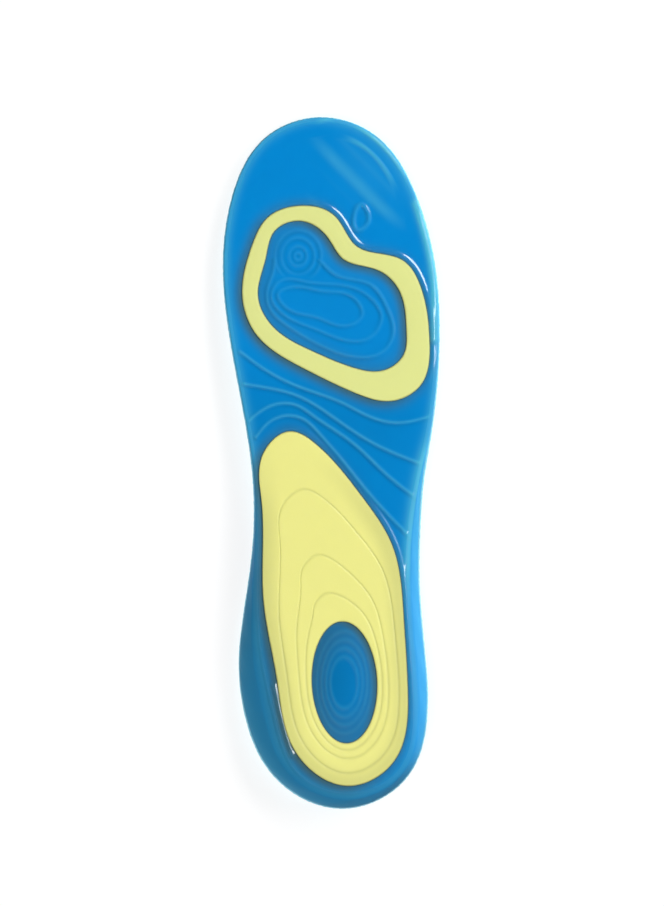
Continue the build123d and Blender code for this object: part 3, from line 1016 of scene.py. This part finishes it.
@dataclass
class ThinLayer:
    """A sheet of little thickness that follows the foot side: the bonding film, or the fabric cover."""

    name: str
    footprint: Footprint
    top: float
    bottom: float
    slot: str
    flat_area: float  # square metres
    overhang: float = 0.0
    fray: float = 0.0
    embossed: bool = False

    def embossing(self, xy: Array) -> Array:
        """How far the pads below lift the sheet: a soft ridge over the ring and a step over the heel pad."""
        outer, inner = ring_loops(300)
        middle = (outer + inner) / 2
        loop = np.concatenate((middle, middle[:1]))
        away = distance_to(xy, loop, 14.0)
        within = inside(xy, loop)
        ring = 1.25 * (1 - ramp(away, 1.5, 6.5)) + 0.30 * within * ramp(away, 2.0, 8.0)
        support = SmoothCurve(SUPPORT_OUTSIDE).sampled()
        off = distance_to(xy, support, 14.0)
        signed = np.where(inside(xy, support), off, -off)
        step = 0.95 * ramp(signed, -3.5, 4.0) * ramp(xy[:, 1], -95.0, -45.0)
        window = oval(WINDOW_MIDDLE, WINDOW_HALF, WINDOW_LEAN)
        dent = 0.35 * inside(xy, window) * ramp(distance_to(xy, window, 14.0), 0.0, 7.0)
        x, y = xy[:, 0], xy[:, 1]
        soft = 0.06 * np.sin(x / 7.0 + 0.6) * np.sin(y / 11.0) + 0.05 * np.sin(y / 5.0 + x / 9.0)
        return ring + step - dent + soft

    def build(self) -> bpy.types.Object:
        """Makes the sheet as a closed skin with a rounded edge."""
        plan = self.footprint
        place = plan.places
        rough = np.sin(place * 61.0) + np.sin(place * 97.3 + 1.0) + np.sin(place * 171.0)
        grow = self.overhang + self.fray * rough / 3
        border, _ = plan.rim_under(self.top, grow)
        low_border, _ = plan.rim_under(self.bottom, grow)
        high_xy, low_xy = plan.patch(border), plan.patch(low_border)
        size = high_xy.shape[:2]
        lift = self.embossing(high_xy.reshape(-1, 2)).reshape(size) if self.embossed else np.zeros(size)
        around = border_order(*size)
        edge = distance_to(high_xy.reshape(-1, 2), np.concatenate((border, border[:1]))).reshape(size)
        thickness = self.bottom - self.top
        droop = 0.35 * thickness * (1 - np.clip(edge / (1.2 * thickness), 0, 1)) ** 2
        top_z = foot_height(high_xy) - self.top - droop + lift * ramp(edge, 0.0, 5.0)
        high = np.concatenate((high_xy, top_z[..., None]), axis=2)
        low = np.concatenate((low_xy, (foot_height(low_xy) - self.bottom)[..., None]), axis=2)
        low_ring, high_ring = low.reshape(-1, 3)[around], high.reshape(-1, 3)[around]
        way = np.roll(high_ring, -1, axis=0) - np.roll(high_ring, 1, axis=0)
        out = np.stack((way[:, 1], -way[:, 0], 0 * way[:, 0]), axis=1)
        out /= np.linalg.norm(out, axis=1)[:, None]
        steps = np.array((0.2, 0.5, 0.8))
        bulge = 0.22 * thickness * np.sin(math.pi * steps)
        wall = low_ring + (high_ring - low_ring) * steps[:, None, None] + out * bulge[:, None, None]
        vertices, quads = closed_shell(low, wall, high)
        # lighter towards the edge of the top and over the whole side wall
        top_edge_lightening = 0.9 * ridge(edge, 1.1).ravel()
        edge_lightening = np.concatenate((np.zeros(low.size // 3), top_edge_lightening, np.ones(wall.size // 3)))
        return make_piece(self.name, vertices, quads, {"edge_lightening": edge_lightening})

    def dress(self, piece: bpy.types.Object, finish: FabricFinish | FilmFinish) -> None:
        piece.data.materials.append(finish.material())
        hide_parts(f"{self.name}_front", f"{self.name}_rear")
        bend_at_flex_line(piece)


# ---- stage ----
@dataclass
class Studio:
    """Floor, backdrop, lights and camera."""

    frame_height: float = 365.5
    camera_distance: float = 1.6
    camera_offset: tuple[float, float] = (0.0, 4.0)
    floor_drop: float = 0.05  # keeps the floor clear of the pads' under sides
    board_toe: float = 5.6
    board_slope: float = 0.052
    half_size: float = 1500.0
    sky_strength: float = 0.28
    sky_seen: float = 0.60

    def sheet_of_paper(
        self, name: str, height: Callable[[Array], Array], up: bool, finish: StageFinish
    ) -> bpy.types.Object:
        """A large sheet that only the camera sees, from its front.

        Args:
            name: the sheet's name.
            height: height in millimetres as a function of y.
            up: whether its front faces up.
            finish: its finish.

        Returns:
            The sheet, which only the camera sees.
        """
        spans = ((-1, -0.12, 12), (-0.1, 0.12, 45), (0.14, 1, 12))  # finest under the insole
        line = np.concatenate([np.linspace(*span) for span in spans])
        x, y = np.meshgrid(line * self.half_size, line * self.half_size)
        vertices = np.stack((x, y, height(y)), axis=2).reshape(-1, 3)
        sheet = make_piece(name, vertices, grid_quads(len(line), len(line), up=up))
        sheet.data.materials.append(finish.material())
        sheet.visible_shadow = False
        sheet.visible_diffuse = False
        sheet.visible_glossy = False
        sheet.visible_transmission = False
        return sheet

    def build(self) -> None:
        """Sets the floor under the insole, the backdrop against its foot side, and the lights."""
        floor_paper = StageFinish("floor_paper", glow=0.48)
        self.sheet_of_paper("floor", lambda y: 0 * y - self.floor_drop, True, floor_paper)
        board_paper = StageFinish("backdrop_paper", glow=0.74)
        toe, slope, tip = self.board_toe, self.board_slope, OUTLINE[0, 1]
        board = self.sheet_of_paper("backdrop", lambda y: toe + (tip - y) * slope, False, board_paper)
        bend_at_flex_line(board)
        self.light("key_below", (-0.85, 0.50, -0.85), (1.25, 0.34), 14.5)
        self.light("fill_below", (0.45, -0.50, -1.10), (0.90, 0.90), 10.5, mirrored=False)
        self.light("key_above", (-0.85, 0.60, 0.42), (0.60, 0.35), 15.0)
        self.light("fill_above", (0.50, -0.50, 1.00), (1.00, 1.00), 9.0, mirrored=False)
        self.sky()
        bpy.context.scene.view_settings.view_transform = "Standard"

    def sky(self) -> None:
        """A white world that darkens straight below but looks pale wherever it is seen directly."""
        world = bpy.data.worlds.new("studio")
        world.use_nodes = True
        bpy.context.scene.world = world
        nodes, links = world.node_tree.nodes, world.node_tree.links
        way = nodes.new("ShaderNodeSeparateXYZ")
        links.new(nodes.new("ShaderNodeTexCoord").outputs["Generated"], way.inputs[0])
        span = nodes.new("ShaderNodeMapRange")
        limits = {"From Min": -0.85, "From Max": 0.20, "To Min": 0.01, "To Max": self.sky_strength}
        for key, value in limits.items():
            span.inputs[key].default_value = value
        links.new(way.outputs["Z"], span.inputs["Value"])
        seen = nodes.new("ShaderNodeMath")
        seen.operation = "MULTIPLY_ADD"
        seen.inputs[1].default_value = self.sky_seen
        links.new(nodes.new("ShaderNodeLightPath").outputs["Is Camera Ray"], seen.inputs[0])
        links.new(span.outputs[0], seen.inputs[2])
        background = nodes["Background"]
        background.inputs["Color"].default_value = (1.0, 1.0, 1.0, 1.0)
        links.new(seen.outputs[0], background.inputs["Strength"])

    @staticmethod
    def light(
        name: str, place: Sequence[float], size: Sequence[float], power: float, mirrored: bool = True
    ) -> None:
        """A soft light aimed at the insole.

        Args:
            name: the light's name.
            place: where it hangs, in metres.
            size: its two sides, in metres, the first level with the floor.
            power: its power in watts.
            mirrored: whether it shows in glossy surfaces.
        """
        data = bpy.data.lights.new(name, "AREA")
        data.shape = "RECTANGLE"
        data.size, data.size_y = size
        data.energy = power
        lamp = bpy.data.objects.new(name, data)
        lamp.location = place
        lamp.rotation_euler = (-Vector(place)).to_track_quat("-Z", "Y").to_euler()
        lamp.visible_glossy = mirrored
        bpy.context.scene.collection.objects.link(lamp)

    def camera(self) -> None:
        """A long lens straight below the insole, with the toe at the top of its view."""
        data = bpy.data.cameras.new("camera")
        data.lens = data.sensor_width / 2 * self.camera_distance / (self.frame_height * MM / 2)
        camera = bpy.data.objects.new("camera", data)
        camera.location = (self.camera_offset[0] * MM, self.camera_offset[1] * MM, -self.camera_distance)
        camera.rotation_euler = (0.0, math.pi, 0.0)
        bpy.context.scene.collection.objects.link(camera)
        bpy.context.scene.camera = camera


def main() -> None:
    """Builds the insole's pieces in order, then the stage, logging each mesh's points and quads."""
    logging.basicConfig(level=logging.INFO, format="%(name)s: %(message)s", stream=sys.stdout)
    fine = Footprint()
    gel = GelBase(fine)
    gel.dress(gel.build())
    ring_outer, ring_inner = ring_loops()
    ring_skin = PadFinish("ring_skin", light=(0.770, 0.810, 0.290))
    ring = Pad("forefoot_ring_pad", Body.FRONT, 2.3, ring_outer, ring_inner, ring_skin)
    ring.dress(ring.build(), "forefoot_ring")
    support_outer, support_inner = support_loops()
    support = Pad(
        "heel_arch_pad", Body.REAR, 3.1, support_outer, support_inner, PadFinish("support_skin"),
        creases=(0.16, 0.36, 0.70), side_shade=0.60, steps=64,
    )
    support.dress(support.build(), "heel_arch_support")
    film_plan = Footprint(across=56, along=180)
    film = ThinLayer("bonding_film", film_plan, COVER, COVER + FILM, "bonding_film", 0.0199, overhang=-0.05)
    film.dress(film.build(), FilmFinish())
    cover_plan = Footprint(across=96, along=300)
    cover = ThinLayer("top_cover", cover_plan, 0.0, COVER, "fabric_cover", 0.0201, fray=0.12, embossed=True)
    cover.dress(cover.build(), FabricFinish())
    studio = Studio()
    studio.build()
    studio.camera()


if __name__ == "__main__":
    main()
